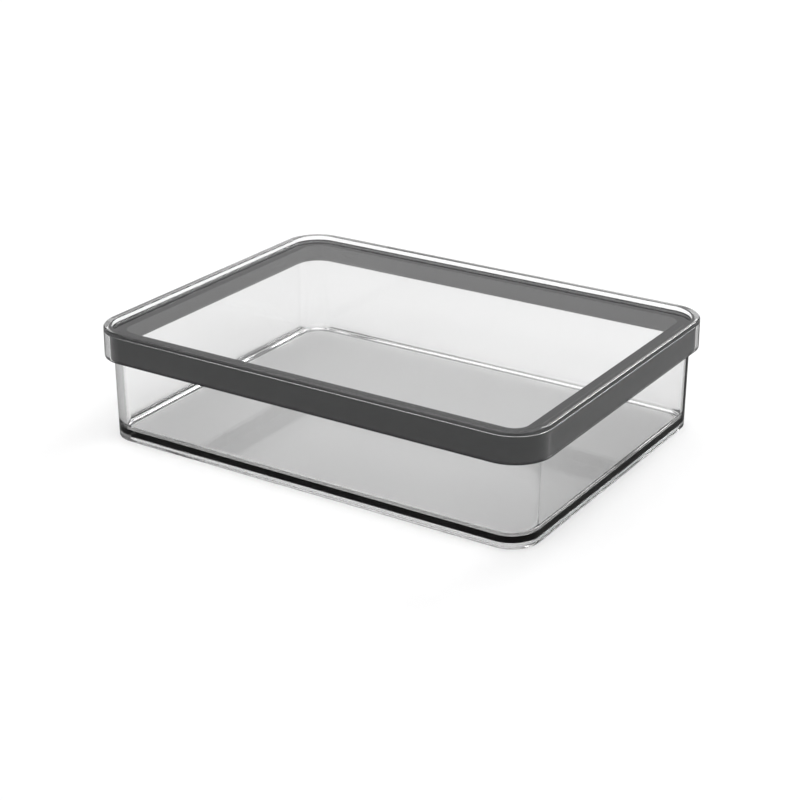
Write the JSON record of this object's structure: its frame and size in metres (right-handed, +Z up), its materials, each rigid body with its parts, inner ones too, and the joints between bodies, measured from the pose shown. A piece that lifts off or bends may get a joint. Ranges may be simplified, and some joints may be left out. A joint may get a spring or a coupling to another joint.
{
  "type": "storage box",
  "caption": "Flat clear rectangular storage box with rounded corners, a lift-off clear lid with a stacking rim, and a dark soft seal ring inside the lid.",
  "frame": {"origin": "on the table under the middle of the base", "axes": "+X along the long side, +Y along the short side, +Z up, the way the lid lifts"},
  "size_m": [0.2, 0.151, 0.0472],
  "materials": {
    "tub_clear": "clear polished moulding",
    "lid_clear": "clear polished moulding",
    "seal_soft": "soft matt moulding"
  },
  "bodies": {
    "tub": {"box_tub": "tub_clear"},
    "lid": {"lid_cover": "lid_clear", "seal_ring": "seal_soft"}
  },
  "joints": [
    {"name": "lid_lift", "type": "slide", "parent": "tub", "child": "lid", "axis": [0, 0, 1], "range_m": [0, 0.06]}
  ]
}
